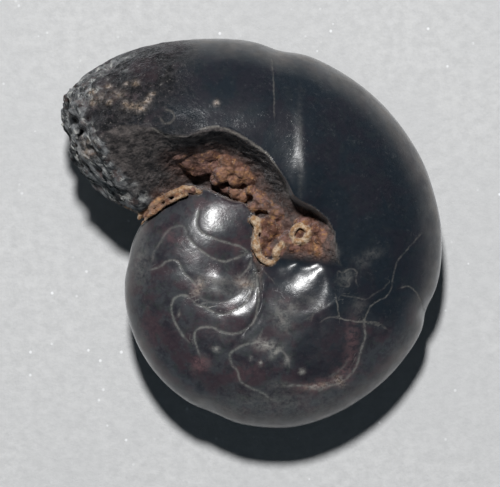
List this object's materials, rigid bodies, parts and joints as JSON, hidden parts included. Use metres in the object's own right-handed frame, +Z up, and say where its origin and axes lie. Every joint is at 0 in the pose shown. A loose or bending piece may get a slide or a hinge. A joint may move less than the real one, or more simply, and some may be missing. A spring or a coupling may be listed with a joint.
{
  "type": "fossil ammonite",
  "caption": "Small globose ammonite stone mould, tightly coiled with a closed umbilicus, broken at the end of the last whorl, with rusty matrix in the broken flank; lies flat.",
  "frame": {"origin": "middle of the bounding footprint, on the surface that the fossil rests on", "axes": "+Z up, close to the coiling axis; +Y towards the thick last half whorl; +X to the right when the ball is at the lower left, seen from above"},
  "size_m": [0.0214, 0.0221, 0.0101],
  "materials": {
    "ironstone": "naturally polished near-black iron-oxide mould with pale suture lines, dull where broken, and orange-brown matrix in the umbilical trough"
  },
  "bodies": {
    "root": {"ammonite": "ironstone"}
  },
  "joints": []
}
